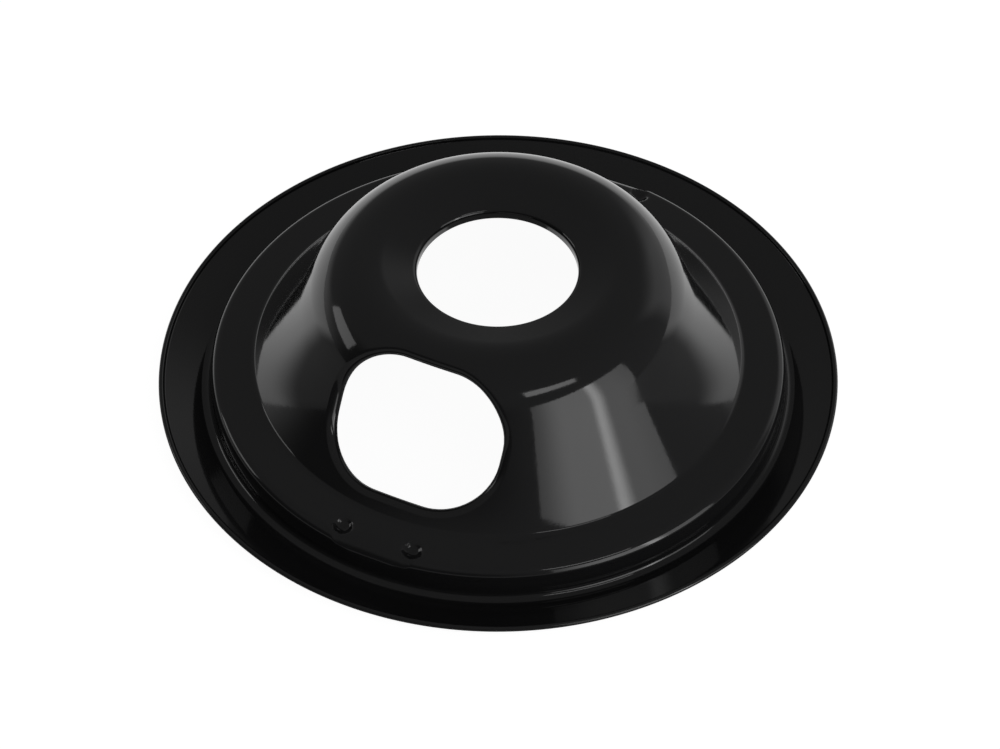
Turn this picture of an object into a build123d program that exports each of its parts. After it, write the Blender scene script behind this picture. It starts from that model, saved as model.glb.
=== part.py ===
from build123d import *
import os
from math import atan2, cos, degrees, radians, sin, sqrt

# Range drip bowl: one pressing of enamelled sheet steel, lying dome up on the crest of its rim.
# Millimetres. The bowl's axis is Z, Z = 0 is the surface that it lies on, and the terminal
# opening faces -Y. Angles are in degrees. Every form is measured on the upper, visible face.

# Sheet, with its enamel, and how near two ends of the section are when they count as joined
sheet = 0.8
joined = 0.01

# Centre hole and its turned-down collar
hole_radius = 22.7
collar_bend = 1.8
collar_wall = 1.4

# Dome: a dished top, a rounded crest, a fuller shoulder and a straight wall
dome_height = 49.5
crest_radius = 37.0
crest_round = 16.0
dish_angle = 18.0
crest_turn = 43.0
shoulder_round = 25.4
wall_angle = 62.0
root_round = 2.0

# Ledge round the dome, and the step down from it
ledge_height = 11.0
ledge_edge_round = 1.8
step_radius = 83.1
valley_round = 2.5

# Flange that rises outwards from the valley, and the bead rolled up round its edge
flange_radius = 98.4
flange_angle = 20.8
bead_round = 0.75
bead_fillet = 0.8

# Terminal opening: a rounded rectangle pierced through the wall, with a turned-in collar. It fills
# the wall's slanted height but for a margin at its foot and one at its head.
terminal_width = 49.2
terminal_end_run = 4.2
terminal_foot_margin = 4.6
terminal_head_margin = 0.4
terminal_tilt = 8.0
terminal_bend = 1.4
terminal_collar = 2.4
terminal_surround = 3.0

# Locating notches: the ledge's corner pressed down between two dents, at the front and the back
notch_round = 5.4
notch_fold_width = 21.2
notch_mouth_width = 27.0
notch_foot_width = 17.4
dent_round = 3.2
dent_depth = 0.9
notch_bearings = (0, 180)

# Turns the finished bowl, which is built facing +X, to face -Y
facing = -90

# Bearing at which each turned face starts and ends, clear of the opening and the notches
seam_bearing = 90


def polar(angle, length=1.0):
    """Gives the vector of this length at this angle, in the plane of radius and height."""
    return Vector(length * cos(radians(angle)), length * sin(radians(angle)))


def tangent_height(normal, line, radius):
    """Gives the height at which a line, held by its normal and distance, has this radius."""
    return (line - normal.X * radius) / normal.Y


def tangent_radius(normal, line, height):
    """Gives the radius at which a line, held by its normal and distance, has this height."""
    return (line - normal.Y * height) / normal.X


# Section: eight arcs with straight runs between them, each arc as centre, radius, two angles and
# the side that the metal is on (-1 where the arc is convex seen from above, +1 where it is hollow)
dish_normal = polar(90 + dish_angle)
wall_normal = polar(90 - wall_angle)
flange_normal = polar(90 + flange_angle)

crest_centre = Vector(crest_radius, dome_height - crest_round)
dish_line = dish_normal.dot(crest_centre) + crest_round

collar_x = hole_radius + collar_bend
collar_centre = Vector(collar_x, tangent_height(dish_normal, dish_line - collar_bend, collar_x))

shoulder_centre = crest_centre + polar(90 - crest_turn, crest_round - shoulder_round)
wall_line = wall_normal.dot(shoulder_centre) + shoulder_round

root_z = ledge_height + root_round
root_centre = Vector(tangent_radius(wall_normal, wall_line + root_round, root_z), root_z)

edge_centre = Vector(step_radius - ledge_edge_round, ledge_height - ledge_edge_round)

valley_centre = Vector(step_radius + valley_round, sheet + valley_round)
flange_line = flange_normal.dot(valley_centre) - valley_round

bead_x = flange_radius - bead_round
bead_centre = Vector(bead_x, tangent_height(flange_normal, flange_line - sheet + bead_round, bead_x))
fillet_rise = bead_fillet + sheet - bead_round
fillet_run = sqrt((bead_fillet + bead_round) ** 2 - fillet_rise**2)
fillet_centre = bead_centre + flange_normal * fillet_rise - polar(flange_angle, fillet_run)
bead_turn = flange_angle - degrees(atan2(fillet_rise, fillet_run))

collar_arc = (collar_centre, collar_bend, 180, 90 + dish_angle, -1)
crest_arc = (crest_centre, crest_round, 90 + dish_angle, 90 - crest_turn, -1)
shoulder_arc = (shoulder_centre, shoulder_round, 90 - crest_turn, 90 - wall_angle, -1)
root_arc = (root_centre, root_round, 270 - wall_angle, 270, 1)
edge_arc = (edge_centre, ledge_edge_round, 90, 0, -1)
valley_arc = (valley_centre, valley_round, 180, 270 + flange_angle, 1)
fillet_arc = (fillet_centre, bead_fillet, 270 + flange_angle, 360 + bead_turn, 1)
bead_arc = (bead_centre, bead_round, 180 + bead_turn, flange_angle - 90, -1)


def skin(arcs, depth, start=None, end=None):
    """Gives the edges of a chain of arcs, with straight runs between, this deep under the upper face."""
    edges = []
    last = start
    for centre, radius, first_angle, last_angle, side in arcs:
        arc = CenterArc(centre, radius + side * depth, first_angle, last_angle - first_angle)
        if last is not None and (arc @ 0 - last).length > joined:
            edges.append(Line(last, arc @ 0))
        edges.append(arc)
        last = arc @ 1
    if end is not None:
        edges.append(Line(last, end))
    return edges


def turned(edges):
    """Revolves the closed outline that these edges make about the bowl's axis."""
    return Rot(0, 0, seam_bearing) * revolve(Plane.XZ * make_face(edges), Axis.Z)


def form(arcs, depth, inside, floor):
    """Gives the full solid under a stretch of the skin, from a radius outwards and a height upwards."""
    edges = skin(arcs, depth)
    top = edges[0] @ 0
    foot = edges[-1] @ 1
    closing = Polyline(foot, (foot.X, floor), (inside, floor), (inside, top.Y), top)
    return turned(edges + [closing])


def bowl_sheet():
    """Makes the turned sheet, with a rounded end to its collar and the bead round its rim."""
    arcs = [collar_arc, crest_arc, shoulder_arc, root_arc, edge_arc, valley_arc]
    collar_end = Vector(hole_radius, collar_centre.Y - collar_wall)
    across = Vector(sheet, 0)
    upper = skin(arcs + [fillet_arc, bead_arc], 0, collar_end)
    lower = skin(arcs, sheet, collar_end + across, upper[-1] @ 1)
    cap_middle = collar_end + Vector(sheet / 2, -sheet / 2)
    collar_cap = ThreePointArc(collar_end, cap_middle, collar_end + across)
    return turned(upper + lower + [collar_cap])


def with_terminal_opening(bowl):
    """Pierces the terminal opening and rolls its edge into the dome."""
    wall_rise = sin(radians(wall_angle))
    height = (dome_height - ledge_height) / wall_rise - terminal_foot_margin - terminal_head_margin
    corner = (height - terminal_end_run) / 2
    centre_z = ledge_height + (terminal_foot_margin + height / 2) * wall_rise
    centre_x = tangent_radius(wall_normal, wall_line, centre_z)
    axis = polar(90 - wall_angle + terminal_tilt)
    punch = Plane(origin=(centre_x, 0, centre_z), x_dir=(0, 1, 0), z_dir=(axis.X, 0, axis.Y))
    dome = [crest_arc, shoulder_arc, root_arc]
    inside = hole_radius + collar_bend
    floor = ledge_height - height / 2
    reach = height / 2

    def prism(grow, length):
        """Gives the opening's outline, this much larger all round, run both ways along the punch's axis."""
        outline = RectangleRounded(terminal_width + 2 * grow, height + 2 * grow, corner + grow)
        return extrude(punch * outline, length, both=True)

    def pierced(depth):
        """Gives the full dome at this depth under its face, with a rounded rim to the opening."""
        whole = form(dome, depth, inside - depth, floor - depth)
        cutter = prism(depth, reach + terminal_width)
        cut = whole - cutter
        rim = [
            edge
            for edge in new_edges(whole, cutter, combined=cut)
            if punch.to_local_coords(edge @ 0.5).Z > -reach
        ]
        return fillet(rim, terminal_bend - depth)

    around = prism(terminal_surround, reach)
    core = form(dome, terminal_collar, inside - terminal_collar, floor - terminal_collar)
    rolled = (pierced(0) & around) - pierced(sheet) - core
    return bowl - around + rolled


def notch_press(depth):
    """Gives the solid that presses one notch and its two dents, this deep under the upper face."""
    fold = step_radius - notch_round
    centre = Vector(fold, ledge_height - notch_round)
    rounding = CenterArc(centre, notch_round - depth, 90, -90)
    reach = step_radius + notch_round
    clear = ledge_height + notch_round
    outline = Polyline(rounding @ 1, (reach, centre.Y), (reach, clear), (fold, clear), rounding @ 0)
    press = extrude(Plane.XZ * make_face([rounding, outline]), notch_mouth_width, both=True)
    for hand in (1, -1):
        inner = Vector(fold, hand * notch_fold_width / 2, ledge_height)
        mouth = Vector(step_radius, hand * notch_mouth_width / 2, ledge_height)
        foot = Vector(step_radius, hand * notch_foot_width / 2, ledge_height - notch_round)
        outwards = (mouth - inner).cross(foot - inner).normalized() * hand
        side = Plane(origin=inner + outwards * depth, x_dir=mouth - inner, z_dir=outwards)
        press = split(press, side, keep=Keep.BOTTOM)
    for hand in (1, -1):
        dent_centre = (fold, hand * notch_fold_width / 2, ledge_height + dent_round - dent_depth)
        press += Pos(*dent_centre) * Sphere(dent_round + depth)
    return press


def with_notches(bowl):
    """Presses the locating notches into the ledge's corner, at the sheet's own thickness."""
    under = form([edge_arc], 0, root_centre.X, valley_centre.Y)
    press = notch_press(0)
    pressed = (notch_press(sheet) - press) & under
    for bearing in notch_bearings:
        bowl = bowl - Rot(0, 0, bearing) * press + Rot(0, 0, bearing) * pressed
    return bowl


bowl = with_terminal_opening(with_notches(bowl_sheet()))
os.makedirs("parts", exist_ok=True)
export_step(Rot(0, 0, facing) * bowl, "parts/drip_bowl.step")
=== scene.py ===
from math import atan2, cos, degrees, pi, radians, sin, sqrt

import bpy
import numpy as np
from mathutils import Matrix, Vector


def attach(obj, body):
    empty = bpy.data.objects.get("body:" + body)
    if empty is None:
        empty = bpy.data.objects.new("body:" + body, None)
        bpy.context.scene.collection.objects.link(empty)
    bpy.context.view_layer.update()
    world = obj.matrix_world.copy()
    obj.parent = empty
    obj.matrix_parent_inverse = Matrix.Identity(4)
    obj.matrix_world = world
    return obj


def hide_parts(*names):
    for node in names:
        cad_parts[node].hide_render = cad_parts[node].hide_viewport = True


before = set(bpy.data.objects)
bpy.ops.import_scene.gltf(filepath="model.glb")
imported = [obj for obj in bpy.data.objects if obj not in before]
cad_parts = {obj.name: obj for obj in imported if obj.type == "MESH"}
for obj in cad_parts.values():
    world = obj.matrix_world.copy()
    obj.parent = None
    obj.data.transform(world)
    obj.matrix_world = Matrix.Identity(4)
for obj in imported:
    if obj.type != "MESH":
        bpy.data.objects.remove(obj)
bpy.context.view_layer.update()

# The photograph's camera in the CAD frame: pixels, a sensor in millimetres, then metres and degrees
FOCAL_PIXELS = 3242.0
IMAGE_WIDTH = 1000.0
SENSOR_WIDTH = 36.0
CAMERA_RANGE = 0.9416
CAMERA_ELEVATION = 46.66
CAMERA_AZIMUTH = 25.5
CAMERA_ROLL = -0.28
CAMERA_BASE = 0.0054
CAMERA_AIM = Vector((0.000478, 0.000228, 0.00147))

# The bowl's section on its upper face, in millimetres and degrees. The sizes are those of the part's source,
# but for the flare at the wall's foot, the ledge's tilt and the rounder root and edge of the ledge.
SHEET = 0.8
HOLE_RADIUS = 22.7
COLLAR_BEND = 1.8
COLLAR_WALL = 1.4
DOME_HEIGHT = 49.5
CREST_RADIUS = 37.0
CREST_ROUND = 16.0
DISH_ANGLE = 18.0
CREST_TURN = 43.0
SHOULDER_ROUND = 25.4
WALL_ANGLE = 62.0
FLARE_TOP = 33.0
FLARE_ROUND = 120.0
FLARE_ANGLE = 50.0
ROOT_ROUND = 2.2
LEDGE_HEIGHT = 11.0
LEDGE_TILT = -2.5
EDGE_ROUND = 3.0
STEP_RADIUS = 83.1
VALLEY_ROUND = 2.5
FLANGE_RADIUS = 98.4
FLANGE_ANGLE = 20.8
BEAD_ROUND = 0.75
BEAD_FILLET = 0.8

# The terminal opening on its punch's plane, with a rounder bend and a longer collar than in the part's source
OPENING_BEARING = -90
TERMINAL_WIDTH = 49.2
TERMINAL_HEIGHT = 38.6
TERMINAL_CORNER = 17.2
TERMINAL_RADIUS = 56.44
TERMINAL_RISE = 32.1
TERMINAL_TILT = 36.0
TERMINAL_BEND = 2.2
TERMINAL_COLLAR = 3.0

# The locating notches and their dents, which are deeper than in the part's source
NOTCH_BEARINGS = (-90, 90)
NOTCH_ROUND = 5.4
NOTCH_FOLD_WIDTH = 21.2
NOTCH_MOUTH_WIDTH = 27.0
NOTCH_FOOT_WIDTH = 17.4
DENT_ROUND = 3.2
DENT_DEPTH = 1.8

# The press that makes them moves points towards a spine, held by its radius and height. It acts from a width
# inside the fold to one outside the step, and depths blend into each other and run out over a crease.
PRESS_SPINE = (76.6, 4.6)
PRESS_INSIDE = 6.0
PRESS_OUTSIDE = 0.5
PRESS_HALF_WIDTH = 20.0
PRESS_LEAST = 0.004
PRESS_BLEND = 4
CREASE = 0.3

# Limits that keep the press's divisions and powers finite
LEAST_REACH = 1e-6
LEAST_SLOPE = 0.15
FAR = 1e3
TINY = 1e-9

# Steps of the mesh along the section: those of each arc, and those of each straight run
COLLAR_STEPS = 9
CREST_STEPS = 15
SHOULDER_STEPS = 7
FLARE_STEPS = 9
ROOT_STEPS = 12
EDGE_STEPS = 12
VALLEY_STEPS = 10
FILLET_STEPS = 7
BEAD_STEPS = 16
CAP_STEPS = 6
COLLAR_RUN = 2
DISH_RUN = 3
WALL_RUN = 3
FOOT_RUN = 2
LEDGE_RUN = 26
STEP_RUN = 8
FLANGE_RUN = 4

# Columns of the mesh: narrow ones, in degrees, on both sides of each notch, and plain ones between notches
NARROW_SPAN = 11.0
NARROW_COLUMN = 0.5
PLAIN_COLUMNS = 126

# The mesh round the opening: the block of the grid that it replaces, by two radii and the columns on each
# side, its rings on the skin, which crowd towards the rim, and those of the rim's bend, of the collar's end
# and of the back
BLOCK_INSIDE = 39.0
BLOCK_OUTSIDE = 72.0
BLOCK_COLUMNS = 40
SKIN_RINGS = 10
RING_CROWDING = 1.4
RIM_RINGS = 9
CAP_RINGS = 3
BACK_RINGS = 5

# How finely the opening's outline is followed, and the reach along the punch that is halved to find the skin
CORNER_POINTS = 91
OUTLINE_POINTS = 720
PUNCH_REACH = 30.0
PUNCH_HALVINGS = 45

# Metres in a millimetre
MM = 0.001

# The enamel: its orange peel, and a grain that is stronger in the valley, between these radii in metres
ENAMEL_COLOUR = (0.011, 0.011, 0.0115, 1)
ENAMEL_IOR = 1.5
ENAMEL_ROUGHNESS = (0.055, 0.085)
ROUGHNESS_PEEL = (0.2, 0.8)
PEEL_SCALE = 420
PEEL_DETAIL = 2
PEEL_SHARE = 0.35
GRAIN_SCALE = 1500
GRAIN_DETAIL = 1
GRAIN_EVERYWHERE = 0.5
VALLEY_START = (0.0835, 0.085)
VALLEY_END = (0.087, 0.090)
BUMP_STRENGTH = 0.12
BUMP_DEPTH = 0.00005

# The floor: its grey, its glow, and its share of that glow in reflections, from the front and sides to the
# back, by a place's distance away from the camera over its distance to the side
FLOOR_SIZE = 40
FLOOR_GREY = 0.30
FLOOR_GLOW = 0.95
FLOOR_SLANT = (0.15, 0.34)
FLOOR_SHARE = (0.15, 1.0)

# The room that the enamel mirrors: levels of light, and limits between which each comes or goes. Turns are
# in radians from the camera's side of the bowl, to the right, and heights are sines of the elevation.
ROOM_LEVEL = 0.18
BACKDROP_LEVEL = 0.8
BACKDROP_START = (2.5, 2.95)
BACKDROP_HEIGHT = (0.02, 0.18)
SWEEP_LEVEL = 0.4
SWEEP_START = (1.86, 2.1)
SWEEP_END = (2.5, 2.9)
HAZE_LEVEL = 0.35
HAZE_START = (-2.9, -2.6)
HAZE_END = (-2.2, -1.6)
HAZE_HEIGHT = (0.02, 0.25)
WING_HEIGHT = (0.4, 0.72)
SHADE_LEVEL = 0.13
SHADE_START = (-1.9, -1.5)
SHADE_END = (-0.2, 0.4)
SHADE_HEIGHT = (0.3, 0.6)

# Glow across the window's soft light: where each smooth step starts and ends, and from what to what
WINDOW_STEPS = ((0.0, 0.3, 0.4, 1.0), (0.52, 0.58, 0.8, 2.0), (0.58, 0.68, 1.0, 0.27), (0.75, 1.0, 1.0, 0.8))


def unit(angle):
    """The unit vector at this angle, in the plane of radius and height."""
    return np.array((cos(radians(angle)), sin(radians(angle))))


# Normals of the section's straight runs, their distances from the origin and the centres of its arcs
DISH_NORMAL = unit(90 + DISH_ANGLE)
WALL_NORMAL = unit(90 - WALL_ANGLE)
FOOT_NORMAL = unit(90 - FLARE_ANGLE)
LEDGE_NORMAL = unit(90 + LEDGE_TILT)
FLANGE_NORMAL = unit(90 + FLANGE_ANGLE)

CREST_CENTRE = np.array((CREST_RADIUS, DOME_HEIGHT - CREST_ROUND))
DISH_LINE = DISH_NORMAL @ CREST_CENTRE + CREST_ROUND
COLLAR_X = HOLE_RADIUS + COLLAR_BEND
COLLAR_Z = (DISH_LINE - COLLAR_BEND - DISH_NORMAL[0] * COLLAR_X) / DISH_NORMAL[1]
COLLAR_CENTRE = np.array((COLLAR_X, COLLAR_Z))

SHOULDER_CENTRE = CREST_CENTRE + (CREST_ROUND - SHOULDER_ROUND) * unit(90 - CREST_TURN)
WALL_LINE = WALL_NORMAL @ SHOULDER_CENTRE + SHOULDER_ROUND
FLARE_X = (WALL_LINE - WALL_NORMAL[1] * FLARE_TOP) / WALL_NORMAL[0]
FLARE_CENTRE = np.array((FLARE_X, FLARE_TOP)) + FLARE_ROUND * WALL_NORMAL
FOOT_LINE = FOOT_NORMAL @ FLARE_CENTRE - FLARE_ROUND

EDGE_CENTRE = np.array((STEP_RADIUS - EDGE_ROUND, LEDGE_HEIGHT - EDGE_ROUND))
LEDGE_LINE = LEDGE_NORMAL @ EDGE_CENTRE + EDGE_ROUND
ROOT_LINES = np.array((FOOT_LINE, LEDGE_LINE)) + ROOT_ROUND
ROOT_CENTRE = np.linalg.solve(np.array((FOOT_NORMAL, LEDGE_NORMAL)), ROOT_LINES)
FOLD_RADIUS = STEP_RADIUS - NOTCH_ROUND

VALLEY_CENTRE = np.array((STEP_RADIUS + VALLEY_ROUND, SHEET + VALLEY_ROUND))
FLANGE_LINE = FLANGE_NORMAL @ VALLEY_CENTRE - VALLEY_ROUND
BEAD_X = FLANGE_RADIUS - BEAD_ROUND
BEAD_Z = (FLANGE_LINE - SHEET + BEAD_ROUND - FLANGE_NORMAL[0] * BEAD_X) / FLANGE_NORMAL[1]
BEAD_CENTRE = np.array((BEAD_X, BEAD_Z))
FILLET_RISE = BEAD_FILLET + SHEET - BEAD_ROUND
FILLET_RUN = sqrt((BEAD_FILLET + BEAD_ROUND) ** 2 - FILLET_RISE**2)
FILLET_CENTRE = BEAD_CENTRE + FILLET_RISE * FLANGE_NORMAL - FILLET_RUN * unit(FLANGE_ANGLE)
BEAD_TURN = FLANGE_ANGLE - degrees(atan2(FILLET_RISE, FILLET_RUN))


def arc(centre, radius, first, last, side, steps):
    """Rows along an arc of the section: radius, height and the two parts of the outward normal."""
    rows = []
    for angle in np.linspace(first, last, steps + 1):
        way = unit(angle)
        rows.append((*(centre + radius * way), *(-side * way)))
    return rows


def fill(rows, more, steps):
    """Joins two stretches of rows with a straight run of this many steps."""
    first = np.array(rows[-1])
    last = np.array(more[0])
    between = [tuple(first + (last - first) * i / steps) for i in range(1, steps)]
    return rows + between + more


def sheet_rows():
    """Rows of the upper face, from the collar's end to the end of the flange's straight run."""
    collar = arc(COLLAR_CENTRE, COLLAR_BEND, 180, 90 + DISH_ANGLE, -1, COLLAR_STEPS)
    crest = arc(CREST_CENTRE, CREST_ROUND, 90 + DISH_ANGLE, 90 - CREST_TURN, -1, CREST_STEPS)
    shoulder = arc(SHOULDER_CENTRE, SHOULDER_ROUND, 90 - CREST_TURN, 90 - WALL_ANGLE, -1, SHOULDER_STEPS)
    flare = arc(FLARE_CENTRE, FLARE_ROUND, 270 - WALL_ANGLE, 270 - FLARE_ANGLE, 1, FLARE_STEPS)
    root = arc(ROOT_CENTRE, ROOT_ROUND, 270 - FLARE_ANGLE, 270 + LEDGE_TILT, 1, ROOT_STEPS)
    edge = arc(EDGE_CENTRE, EDGE_ROUND, 90 + LEDGE_TILT, 0, -1, EDGE_STEPS)
    valley = arc(VALLEY_CENTRE, VALLEY_ROUND, 180, 270 + FLANGE_ANGLE, 1, VALLEY_STEPS)
    flange_end = arc(FILLET_CENTRE, BEAD_FILLET, 270 + FLANGE_ANGLE, 360 + BEAD_TURN, 1, FILLET_STEPS)[:1]
    rows = [(HOLE_RADIUS, COLLAR_CENTRE[1] - COLLAR_WALL, -1.0, 0.0)]
    rows = fill(rows, collar, COLLAR_RUN)
    rows = fill(rows, crest, DISH_RUN)
    rows += shoulder[1:]
    rows = fill(rows, flare, WALL_RUN)
    rows = fill(rows, root, FOOT_RUN)
    rows = fill(rows, edge, LEDGE_RUN)
    rows = fill(rows, valley, STEP_RUN)
    return np.array(fill(rows, flange_end, FLANGE_RUN))


def bead_rows():
    """Rows of the bead, from the flange's upper face round to its lower face."""
    fillet = arc(FILLET_CENTRE, BEAD_FILLET, 270 + FLANGE_ANGLE, 360 + BEAD_TURN, 1, FILLET_STEPS)
    bead = arc(BEAD_CENTRE, BEAD_ROUND, 180 + BEAD_TURN, FLANGE_ANGLE - 90, -1, BEAD_STEPS)
    return np.array(fillet[1:-1] + bead)


def collar_cap_rows():
    """Rows of the rounded end of the centre hole's collar, from its outer to its inner face."""
    centre = np.array((HOLE_RADIUS + SHEET / 2, COLLAR_CENTRE[1] - COLLAR_WALL))
    return np.array(arc(centre, SHEET / 2, 0, -180, -1, CAP_STEPS)[1:-1])


def bearings():
    """Bearings of the columns about the opening's middle, closer together where the notches are."""
    narrow = round(NARROW_SPAN / NARROW_COLUMN)
    front = np.arange(narrow) * NARROW_COLUMN
    side = NARROW_SPAN + np.arange(PLAIN_COLUMNS) * (180 - 2 * NARROW_SPAN) / PLAIN_COLUMNS
    back = 180 - NARROW_SPAN + np.arange(narrow + 1) * NARROW_COLUMN
    half = np.concatenate((front, side, back))
    return radians(OPENING_BEARING) + np.radians(np.concatenate((-half[:0:-1], half[:-1])))


def spin(rows, angles):
    """Turns rows of radius and height to bearings, giving points and normals."""
    c = np.cos(angles)
    s = np.sin(angles)
    points = np.stack((rows[..., 0] * c, rows[..., 0] * s, rows[..., 1] + 0 * c), -1)
    normals = np.stack((rows[..., 2] * c, rows[..., 2] * s, rows[..., 3] + 0 * c), -1)
    return points, normals


def soft(depth):
    """Lets a depth run out smoothly to nothing where it would be negative."""
    return (depth + np.sqrt(depth * depth + CREASE * CREASE)) / 2


def notch_depth(place, way):
    """How deep the notch lies below points of the ledge and the step, along their ways to the spine."""
    out = np.maximum(place[..., 0] - FOLD_RADIUS, 0)
    rise = place[..., 2] - (LEDGE_HEIGHT - NOTCH_ROUND)
    towards = out * way[..., 0] + rise * way[..., 2]
    gap = out * out + rise * rise - NOTCH_ROUND**2
    reach = np.maximum(-towards - np.sqrt(np.maximum(towards * towards - gap, 0)), 0)
    reach = np.where((rise > 0) & (place[..., 0] > FOLD_RADIUS), reach, 0)
    sides = np.full(reach.shape, FAR)
    for hand in (1, -1):
        inner = np.array((FOLD_RADIUS, hand * NOTCH_FOLD_WIDTH / 2, LEDGE_HEIGHT))
        mouth = np.array((STEP_RADIUS, hand * NOTCH_MOUTH_WIDTH / 2, LEDGE_HEIGHT))
        foot = np.array((STEP_RADIUS, hand * NOTCH_FOOT_WIDTH / 2, LEDGE_HEIGHT - NOTCH_ROUND))
        outwards = np.cross(mouth - inner, foot - inner) * hand
        outwards /= np.linalg.norm(outwards)
        slope = np.maximum(way @ outwards, LEAST_SLOPE)
        sides = np.minimum(sides, (inner - place) @ outwards / slope)
    both = np.maximum(reach, LEAST_REACH) ** -PRESS_BLEND + soft(sides) ** -PRESS_BLEND
    return np.where(reach > LEAST_REACH, both ** (-1 / PRESS_BLEND), 0)


def dent_depth(place, way):
    """How deep the two dents lie below points of the ledge, along their ways to the spine."""
    ledge = (LEDGE_LINE - LEDGE_NORMAL[0] * FOLD_RADIUS) / LEDGE_NORMAL[1]
    depth = np.zeros(place.shape[:-1])
    for hand in (1, -1):
        centre = np.array((FOLD_RADIUS, hand * NOTCH_FOLD_WIDTH / 2, ledge + DENT_ROUND - DENT_DEPTH))
        away = place - centre
        gap = np.sum(away * away, -1) - DENT_ROUND**2
        towards = np.sum(away * way, -1)
        inside = -towards + np.sqrt(np.maximum(towards * towards - gap, 0))
        outside = DENT_ROUND - np.sqrt(gap + DENT_ROUND**2)
        depth = np.maximum(depth, soft(np.where(gap < 0, inside, outside)))
    return depth


def press_move(points, bearing):
    """How the press of the notch at this bearing moves each point of the upper face."""
    c = cos(bearing)
    s = sin(bearing)
    turn = np.array(((c, s, 0), (-s, c, 0), (0, 0, 1)))
    place = points @ turn.T
    way = np.zeros(place.shape)
    way[..., 0] = PRESS_SPINE[0] - place[..., 0]
    way[..., 2] = PRESS_SPINE[1] - place[..., 2]
    way /= np.maximum(np.linalg.norm(way, axis=-1, keepdims=True), TINY)
    both = notch_depth(place, way) ** PRESS_BLEND + dent_depth(place, way) ** PRESS_BLEND
    depth = both ** (1 / PRESS_BLEND)
    near = (place[..., 0] > FOLD_RADIUS - PRESS_INSIDE) & (place[..., 0] < STEP_RADIUS + PRESS_OUTSIDE)
    near &= np.abs(place[..., 1]) < PRESS_HALF_WIDTH
    near &= place[..., 2] > LEDGE_HEIGHT - NOTCH_ROUND
    return np.where(near & (depth > PRESS_LEAST), depth, 0)[..., None] * (way @ turn)


def grid_normals(points):
    """Normals of a grid of points by its rows and columns, of which the columns go all round."""
    along = np.gradient(points, axis=0)
    across = np.roll(points, -1, 1) - np.roll(points, 1, 1)
    normals = np.cross(along, across)
    return normals / np.linalg.norm(normals, axis=-1, keepdims=True)


def skin_distance(points):
    """Distance of points above the dome's upper face, and the face's normal under each."""
    r = np.hypot(points[:, 0], points[:, 1])
    z = points[:, 2]
    place = np.stack((r, z), -1)
    turn = np.degrees(np.arctan2(z - SHOULDER_CENTRE[1], r - SHOULDER_CENTRE[0]))
    from_crest = place - CREST_CENTRE
    from_shoulder = place - SHOULDER_CENTRE
    from_flare = place - FLARE_CENTRE
    from_root = place - ROOT_CENTRE
    crest = np.linalg.norm(from_crest, axis=1)
    shoulder = np.linalg.norm(from_shoulder, axis=1)
    flare = np.linalg.norm(from_flare, axis=1)
    root = np.linalg.norm(from_root, axis=1)
    down_wall = np.array((WALL_NORMAL[1], -WALL_NORMAL[0]))
    down_foot = np.array((FOOT_NORMAL[1], -FOOT_NORMAL[0]))
    on_crest = turn >= 90 - CREST_TURN
    on_shoulder = (turn >= 90 - WALL_ANGLE) & ~on_crest
    on_flare = (from_flare @ down_wall > 0) & ~on_crest & ~on_shoulder
    on_root = (from_root @ down_foot > 0) & on_flare
    height = place @ WALL_NORMAL - WALL_LINE
    normal = np.tile(WALL_NORMAL, (len(r), 1))
    for where, value, way in (
        (on_crest, crest - CREST_ROUND, from_crest / crest[:, None]),
        (on_shoulder, shoulder - SHOULDER_ROUND, from_shoulder / shoulder[:, None]),
        (on_flare, FLARE_ROUND - flare, -from_flare / flare[:, None]),
        (on_root, ROOT_ROUND - root, -from_root / root[:, None]),
    ):
        height = np.where(where, value, height)
        normal = np.where(where[:, None], way, normal)
    radial = points[:, :2] / r[:, None]
    return height, np.concatenate((radial * normal[:, :1], normal[:, 1:]), 1)


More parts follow.
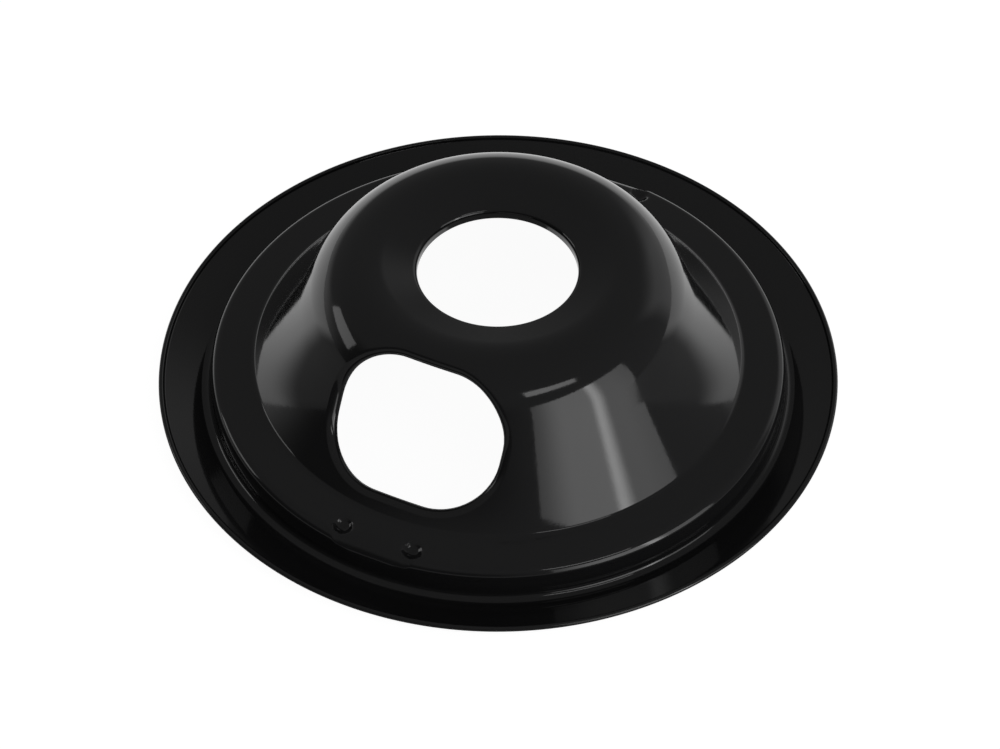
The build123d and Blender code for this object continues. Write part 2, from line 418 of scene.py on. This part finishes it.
class Opening:
    """The terminal opening: its outline on the punch's plane, and curves on it at a depth."""

    def __init__(self):
        tilt = radians(TERMINAL_TILT)
        self.origin = np.array((0, -TERMINAL_RADIUS, TERMINAL_RISE))
        self.across = np.array((1.0, 0, 0))
        self.up = np.array((0, sin(tilt), cos(tilt)))
        self.axis = np.array((0, -cos(tilt), sin(tilt)))
        half = np.array((TERMINAL_WIDTH, TERMINAL_HEIGHT)) / 2 - TERMINAL_CORNER
        spots = []
        ways = []
        for first, sx, sy in ((0, 1, 1), (90, -1, 1), (180, -1, -1), (270, 1, -1)):
            for angle in np.linspace(first, first + 90, CORNER_POINTS):
                ways.append(unit(angle))
                spots.append(half * (sx, sy) + TERMINAL_CORNER * ways[-1])
        spots.append(spots[0])
        ways.append(ways[0])
        self.spots = np.array(spots)
        self.ways = np.array(ways)
        steps = np.linalg.norm(np.diff(self.spots, axis=0), axis=1)
        self.along = np.concatenate(((0,), np.cumsum(steps)))
        self.length = self.along[-1]

    def outline(self, run):
        """Points of the outline at these runs along it, and the ways out of the opening."""
        run = np.mod(run, self.length)
        spot = np.stack([np.interp(run, self.along, self.spots[:, i]) for i in (0, 1)], 1)
        way = np.stack([np.interp(run, self.along, self.ways[:, i]) for i in (0, 1)], 1)
        return spot, way / np.linalg.norm(way, axis=1, keepdims=True)

    def curve(self, run, grow, depth):
        """Points on the outline grown by a width, at a depth under the skin, and the ways out."""
        spot, way = self.outline(run)
        spot = spot + grow * way
        base = self.origin + spot[:, :1] * self.across + spot[:, 1:] * self.up
        low = np.full(len(run), -PUNCH_REACH)
        high = np.full(len(run), PUNCH_REACH)
        for _ in range(PUNCH_HALVINGS):
            middle = (low + high) / 2
            above = skin_distance(base + middle[:, None] * self.axis)[0] > -depth
            high = np.where(above, middle, high)
            low = np.where(above, low, middle)
        points = base + low[:, None] * self.axis
        return points, way[:, :1] * self.across + way[:, 1:] * self.up

    def rim(self, run):
        """Centres of the rim's bend at these runs, the ways out there and the skin's normals."""
        centre, way = self.curve(run, TERMINAL_BEND, TERMINAL_BEND)
        return centre, way, skin_distance(centre)[1]


def bend(centre, first, last, radius, steps):
    """Rings of a round edge about a curve of centres, from one direction to another."""
    angle = np.arccos(np.clip(np.sum(first * last, 1), -1, 1))[:, None]
    rings = []
    for i in range(1, steps + 1):
        f = i / steps
        way = (np.sin((1 - f) * angle) * first + np.sin(f * angle) * last) / np.sin(angle)
        rings.append((centre + radius * way, way))
    return rings


def sheet_grid(rows, angles):
    """The bowl without its opening, as a closed loop of rows, and the row that lies under the first one.

    The loop goes over the upper face, round the bead, back along the lower face and round the collar's end.
    """
    upper, upper_normals = spin(rows[:, None, :], angles[None, :])
    moved = sum(press_move(upper, radians(bearing)) for bearing in NOTCH_BEARINGS)
    upper = upper + moved
    touched = np.any(moved != 0, -1)
    for axis in (0, 1):
        touched = touched | np.roll(touched, 1, axis) | np.roll(touched, -1, axis)
    upper_normals = np.where(touched[..., None], grid_normals(upper), upper_normals)
    lower = upper - SHEET * upper_normals
    bead, bead_normals = spin(bead_rows()[:, None, :], angles[None, :])
    cap, cap_normals = spin(collar_cap_rows()[:, None, :], angles[None, :])
    points = np.concatenate((upper, bead, lower[::-1], cap))
    normals = np.concatenate((upper_normals, bead_normals, -upper_normals[::-1], cap_normals))
    return points, normals, 2 * len(rows) + len(bead) - 1


def opening_block(rows, angles):
    """The block of the grid that the opening's rings replace: its first and last rows and columns."""
    top = int(np.argmax(rows[:, 0] > BLOCK_INSIDE))
    foot = int(np.argmax(rows[:, 0] > BLOCK_OUTSIDE))
    middle = int(np.argmin(np.abs(angles - radians(OPENING_BEARING))))
    return top, foot, middle - BLOCK_COLUMNS, middle + BLOCK_COLUMNS


def block_outline(top, foot, left, right):
    """Rows and columns of the block's outline, from its foot round to the right."""
    outline = [(foot, j) for j in range(left, right)]
    outline += [(k, right) for k in range(foot, top, -1)]
    outline += [(top, j) for j in range(right, left, -1)]
    outline += [(k, left) for k in range(top, foot)]
    return outline


def grid_faces(total, columns, under_first, block):
    """Faces of the closed grid, but for the block on its upper face and the one under it."""
    top, foot, left, right = block
    faces = []
    for k in range(total):
        below = (k + 1) % total
        in_rows = top <= k < foot or top <= under_first - below < foot
        for j in range(columns):
            if in_rows and left <= j < right:
                continue
            beside = (j + 1) % columns
            corners = ((k, j), (below, j), (below, beside), (k, beside))
            faces.append(tuple(row * columns + column for row, column in corners))
    return faces


def opening_rings(rows, angles, outline):
    """Rings of points and normals from the block's outline in to the opening's rim and back underneath."""
    opening = Opening()
    numbers = np.arange(len(rows))
    dome = slice(int(np.argmax(rows[:, 1])), outline[0][0] + 1)
    run_down = np.concatenate(((0,), np.cumsum(np.hypot(*np.diff(rows[:, :2], axis=0).T))))
    edge_row = np.array([k for k, _ in outline], float)
    edge_bearing = np.array([angles[j] for _, j in outline])

    def on_skin(places):
        """Bearing and row of points on the dome's face."""
        row = np.interp(-places[:, 2], -rows[dome, 1], numbers[dome])
        return np.arctan2(places[:, 1], places[:, 0]), row

    def clock(bearing, row):
        """Angle of places on the skin about the opening's middle, each axis to its own reach."""
        x = bearing - radians(OPENING_BEARING)
        y = -np.interp(row, numbers, run_down)
        x = x / np.abs(x).max()
        y = y - (y.max() + y.min()) / 2
        return np.arctan2(y / np.abs(y).max(), x)

    # The run along the opening's outline that belongs to each point of the block's outline, by their clocks
    runs = np.linspace(0, opening.length, OUTLINE_POINTS + 1)[:-1]
    centre, way, normal = opening.rim(runs)
    touch_clock = np.unwrap(clock(*on_skin(centre + TERMINAL_BEND * normal)))
    edge_clock = np.unwrap(clock(edge_bearing, edge_row))
    edge_clock += 2 * pi * np.round((touch_clock.mean() - edge_clock.mean()) / (2 * pi))
    wide_clock = np.concatenate((touch_clock - 2 * pi, touch_clock, touch_clock + 2 * pi))
    wide_runs = np.concatenate((runs - opening.length, runs, runs + opening.length))
    run = np.interp(edge_clock, wide_clock, wide_runs)

    # Rings over the skin, up to where the rim's bend starts
    centre, way, normal = opening.rim(run)
    touch = centre + TERMINAL_BEND * normal
    touch_bearing, touch_row = on_skin(touch)
    skin = []
    for f in 1 - (1 - np.linspace(0, 1, SKIN_RINGS + 1)[1:]) ** RING_CROWDING:
        at_row = edge_row + f * (touch_row - edge_row)
        at_bearing = edge_bearing + f * (touch_bearing - edge_bearing)
        here = np.stack([np.interp(at_row, numbers, rows[:, i]) for i in range(4)], 1)
        here[:, 2:] /= np.linalg.norm(here[:, 2:], axis=1, keepdims=True)
        skin.append(spin(here, at_bearing))
    skin[-1] = (touch, normal)

    # Rings over the bend, round the collar's end and back along the inner side
    inwards = -opening.axis + 0 * way
    cap_centre = opening.curve(run, SHEET / 2, TERMINAL_COLLAR - SHEET / 2)[0]
    rings = skin + bend(centre, normal, -way, TERMINAL_BEND, RIM_RINGS)
    rings.append((cap_centre - way * SHEET / 2, -way))
    rings += bend(cap_centre, -way, inwards, SHEET / 2, CAP_RINGS)
    rings += bend(cap_centre, inwards, way, SHEET / 2, CAP_RINGS)
    back = bend(centre, normal, -way, TERMINAL_BEND - SHEET, BACK_RINGS)
    rings += [(place, -turn) for place, turn in back[::-1]]
    rings += [(place - SHEET * turn, -turn) for place, turn in skin[::-1]]
    return rings


def make_object(name, points, normals, faces):
    """Makes an object of the points that faces use, with every face turned to agree with its normals."""
    used = np.unique(faces)
    number = np.full(len(points), -1)
    number[used] = np.arange(len(used))
    faces = number[faces]
    points = points[used]
    normals = normals[used]
    normals /= np.linalg.norm(normals, axis=1, keepdims=True)
    cross = np.cross(points[faces[:, 2]] - points[faces[:, 0]], points[faces[:, 3]] - points[faces[:, 1]])
    wrong = np.sum(cross * normals[faces].mean(1), 1) < 0
    faces[wrong] = faces[wrong][:, ::-1]
    mesh = bpy.data.meshes.new(name)
    mesh.from_pydata((points * MM).tolist(), [], faces.tolist())
    mesh.polygons.foreach_set("use_smooth", [True] * len(mesh.polygons))
    mesh.update()
    mesh.normals_split_custom_set_from_vertices(normals.tolist())
    made = bpy.data.objects.new(name, mesh)
    bpy.context.scene.collection.objects.link(made)
    return made


def build_bowl():
    """Makes the bowl as one fine mesh with its own normals, in place of the CAD's node."""
    rows = sheet_rows()
    angles = bearings()
    columns = len(angles)
    points, normals, under_first = sheet_grid(rows, angles)
    block = opening_block(rows, angles)
    outline = block_outline(*block)
    size = len(outline)
    faces = grid_faces(len(points), columns, under_first, block)
    rings = opening_rings(rows, angles, outline)
    first = len(points) * columns
    chain = [[k * columns + j for k, j in outline]]
    chain += [[first + i * size + m for m in range(size)] for i in range(len(rings))]
    chain += [[(under_first - k) * columns + j for k, j in outline]]
    for here, there in zip(chain, chain[1:]):
        for m in range(size):
            n = (m + 1) % size
            faces.append((here[m], here[n], there[n], there[m]))
    points = np.concatenate([points.reshape(-1, 3)] + [place for place, _ in rings])
    normals = np.concatenate([normals.reshape(-1, 3)] + [turn for _, turn in rings])
    bowl = make_object("drip_bowl_fine", points, normals, np.array(faces))
    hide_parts("drip_bowl")
    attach(bowl, "root")
    return bowl


def math_node(tree, operation, first, second=0.0):
    """Adds a math node on one or two values, each a number or a socket."""
    node = tree.nodes.new("ShaderNodeMath")
    node.operation = operation
    for socket, value in zip(node.inputs, (first, second)):
        if isinstance(value, (int, float)):
            socket.default_value = value
        else:
            tree.links.new(value, socket)
    return node.outputs[0]


def product(tree, first, *more):
    """Adds math nodes that multiply values, each a number or a socket."""
    for value in more:
        first = math_node(tree, "MULTIPLY", first, value)
    return first


def ramp(tree, value, low, high, at_low=0.0, at_high=1.0):
    """Adds a smooth step of a value between two limits."""
    node = tree.nodes.new("ShaderNodeMapRange")
    node.interpolation_type = "SMOOTHSTEP"
    tree.links.new(value, node.inputs["Value"])
    for name, number in (("From Min", low), ("From Max", high), ("To Min", at_low), ("To Max", at_high)):
        node.inputs[name].default_value = number
    return node.outputs["Result"]


def rising(tree, value, limits):
    """Adds a smooth step from 0 to 1 between two limits."""
    return ramp(tree, value, *limits)


def falling(tree, value, limits):
    """Adds a smooth step from 1 to 0 between two limits."""
    return ramp(tree, value, *limits, 1.0, 0.0)


def dot_node(tree, vector, axis):
    """Adds the part of a vector that lies along an axis."""
    node = tree.nodes.new("ShaderNodeVectorMath")
    node.operation = "DOT_PRODUCT"
    tree.links.new(vector, node.inputs[0])
    node.inputs[1].default_value = axis
    return node.outputs["Value"]


def noise_node(tree, place, scale, detail):
    """Adds a noise of this scale and detail over places."""
    node = tree.nodes.new("ShaderNodeTexNoise")
    node.inputs["Scale"].default_value = scale
    node.inputs["Detail"].default_value = detail
    tree.links.new(place, node.inputs["Vector"])
    return node.outputs["Fac"]


def make_enamel():
    """Glossy black enamel with a fine orange peel, grainier in the valley where it ran together."""
    material = bpy.data.materials.new("black_enamel")
    material.use_nodes = True
    tree = material.node_tree
    shader = tree.nodes["Principled BSDF"]
    shader.inputs["Base Color"].default_value = ENAMEL_COLOUR
    shader.inputs["IOR"].default_value = ENAMEL_IOR
    place = tree.nodes.new("ShaderNodeTexCoord").outputs["Object"]
    parts = tree.nodes.new("ShaderNodeSeparateXYZ")
    tree.links.new(place, parts.inputs[0])
    across = product(tree, parts.outputs["X"], parts.outputs["X"])
    along = product(tree, parts.outputs["Y"], parts.outputs["Y"])
    radius = math_node(tree, "SQRT", math_node(tree, "ADD", across, along))
    valley = product(tree, rising(tree, radius, VALLEY_START), falling(tree, radius, VALLEY_END))
    peel = noise_node(tree, place, PEEL_SCALE, PEEL_DETAIL)
    grain = noise_node(tree, place, GRAIN_SCALE, GRAIN_DETAIL)
    grain = product(tree, grain, math_node(tree, "ADD", valley, GRAIN_EVERYWHERE))
    bump = tree.nodes.new("ShaderNodeBump")
    bump.inputs["Strength"].default_value = BUMP_STRENGTH
    bump.inputs["Distance"].default_value = BUMP_DEPTH
    height = math_node(tree, "ADD", product(tree, peel, PEEL_SHARE), grain)
    tree.links.new(height, bump.inputs["Height"])
    tree.links.new(bump.outputs["Normal"], shader.inputs["Normal"])
    tree.links.new(ramp(tree, peel, *ROUGHNESS_PEEL, *ENAMEL_ROUGHNESS), shader.inputs["Roughness"])
    return material


def studio(right, away, up=0.0):
    """A place in the studio, from the object: to the camera's right, away from it and up, in metres."""
    a = radians(CAMERA_AZIMUTH)
    return Vector((right * cos(a) - away * sin(a), right * sin(a) + away * cos(a), up))


def make_floor():
    """The floor: white to the camera, and in reflections white at the back and dim elsewhere."""
    bpy.ops.mesh.primitive_plane_add(size=FLOOR_SIZE)
    floor = bpy.context.object
    floor.name = "floor"
    material = bpy.data.materials.new("white_floor")
    material.use_nodes = True
    tree = material.node_tree
    tree.nodes.clear()
    out = tree.nodes.new("ShaderNodeOutputMaterial")
    diffuse = tree.nodes.new("ShaderNodeBsdfDiffuse")
    diffuse.inputs["Color"].default_value = (FLOOR_GREY, FLOOR_GREY, FLOOR_GREY, 1)
    glow = tree.nodes.new("ShaderNodeEmission")
    place = tree.nodes.new("ShaderNodeTexCoord").outputs["Object"]
    aside = math_node(tree, "ABSOLUTE", dot_node(tree, place, studio(1, 0)))
    slant = math_node(tree, "DIVIDE", dot_node(tree, place, studio(0, 1)), aside)
    share = ramp(tree, slant, *FLOOR_SLANT, *FLOOR_SHARE)
    path = tree.nodes.new("ShaderNodeLightPath")
    mirrored = math_node(tree, "MAXIMUM", path.outputs["Is Glossy Ray"], path.outputs["Is Transmission Ray"])
    seen = math_node(tree, "MAXIMUM", path.outputs["Is Camera Ray"], product(tree, mirrored, share))
    tree.links.new(product(tree, seen, FLOOR_GLOW), glow.inputs["Strength"])
    add = tree.nodes.new("ShaderNodeAddShader")
    tree.links.new(diffuse.outputs[0], add.inputs[0])
    tree.links.new(glow.outputs[0], add.inputs[1])
    tree.links.new(add.outputs[0], out.inputs["Surface"])
    floor.data.materials.append(material)


def make_world():
    """The room: white to the camera, else dim with a pale backdrop, pale wings and a darker front left."""
    world = bpy.data.worlds.new("studio")
    bpy.context.scene.world = world
    world.use_nodes = True
    tree = world.node_tree
    way = tree.nodes.new("ShaderNodeTexCoord").outputs["Generated"]
    parts = tree.nodes.new("ShaderNodeSeparateXYZ")
    tree.links.new(way, parts.inputs[0])
    height = parts.outputs["Z"]
    turn = math_node(tree, "ARCTAN2", dot_node(tree, way, studio(1, 0)), dot_node(tree, way, studio(0, -1)))
    aside = math_node(tree, "ABSOLUTE", turn)
    backdrop = product(tree, rising(tree, aside, BACKDROP_START), falling(tree, height, BACKDROP_HEIGHT))
    sweep = product(tree, rising(tree, turn, SWEEP_START), falling(tree, turn, SWEEP_END), SWEEP_LEVEL)
    haze = product(tree, rising(tree, turn, HAZE_START), falling(tree, turn, HAZE_END), HAZE_LEVEL)
    haze = product(tree, haze, falling(tree, height, HAZE_HEIGHT))
    wings = product(tree, math_node(tree, "ADD", sweep, haze), falling(tree, height, WING_HEIGHT))
    shade = product(tree, rising(tree, turn, SHADE_START), falling(tree, turn, SHADE_END))
    shade = product(tree, shade, falling(tree, height, SHADE_HEIGHT))
    level = math_node(tree, "SUBTRACT", ROOM_LEVEL, product(tree, shade, SHADE_LEVEL))
    level = math_node(tree, "ADD", level, product(tree, backdrop, BACKDROP_LEVEL))
    level = math_node(tree, "ADD", level, wings)
    camera = tree.nodes.new("ShaderNodeLightPath").outputs["Is Camera Ray"]
    background = tree.nodes["Background"]
    background.inputs["Color"].default_value = (1, 1, 1, 1)
    tree.links.new(math_node(tree, "MAXIMUM", level, camera), background.inputs["Strength"])


def add_softbox(name, place, target, width, height, radiance, steps=()):
    """A soft lamp, by its place, what it faces and its size, with its glow in steps across it."""
    data = bpy.data.lights.new(name, "AREA")
    data.shape = "RECTANGLE"
    data.size = width
    data.size_y = height
    data.energy = radiance * width * height * pi
    if steps:
        data.use_nodes = True
        tree = data.node_tree
        parts = tree.nodes.new("ShaderNodeSeparateXYZ")
        tree.links.new(tree.nodes.new("ShaderNodeNewGeometry").outputs["Parametric"], parts.inputs[0])
        level = product(tree, *[ramp(tree, parts.outputs["X"], *step) for step in steps])
        tree.links.new(level, tree.nodes["Emission"].inputs["Strength"])
    lamp = bpy.data.objects.new(name, data)
    bpy.context.scene.collection.objects.link(lamp)
    lamp.location = place
    lamp.rotation_euler = (target - place).to_track_quat("-Z", "Y").to_euler()
    lamp.visible_camera = False


def make_lamps():
    """Three soft lamps: a wide window with a strip above it at the front right, and one at the left."""
    add_softbox(
        "window",
        place=studio(0.72, -0.69, 0.25),
        target=studio(0, 0, 0.25),
        width=1.1,
        height=0.6,
        radiance=2.6,
        steps=WINDOW_STEPS,
    )
    add_softbox(
        "strip",
        place=studio(0.40, -0.62, 0.68),
        target=studio(0, 0, 0.03),
        width=0.44,
        height=0.1,
        radiance=2.4,
    )
    add_softbox(
        "side",
        place=studio(-0.98, 0.22, 0.34),
        target=studio(0, 0, 0.34),
        width=0.42,
        height=0.22,
        radiance=1.3,
    )


def make_camera():
    """The photograph's camera, by its place round the bowl, what it looks at and its roll."""
    e = radians(CAMERA_ELEVATION)
    place = CAMERA_RANGE * studio(0, -cos(e), sin(e)) + Vector((0, 0, CAMERA_BASE))
    look = (CAMERA_AIM - place).normalized()
    right = look.cross(Vector((0, 0, 1))).normalized()
    up = right.cross(look)
    c = cos(radians(CAMERA_ROLL))
    s = sin(radians(CAMERA_ROLL))
    turned_right = c * right + s * up
    turned_up = c * up - s * right
    data = bpy.data.cameras.new("camera")
    data.sensor_width = SENSOR_WIDTH
    data.lens = FOCAL_PIXELS * SENSOR_WIDTH / IMAGE_WIDTH
    camera = bpy.data.objects.new("camera", data)
    bpy.context.scene.collection.objects.link(camera)
    axes = Matrix((turned_right, turned_up, -look)).transposed().to_4x4()
    camera.matrix_world = Matrix.Translation(place) @ axes
    bpy.context.scene.camera = camera


bowl = build_bowl()
bowl.data.materials.append(make_enamel())
make_floor()
make_world()
make_lamps()
make_camera()
bpy.context.scene.view_settings.view_transform = "Standard"
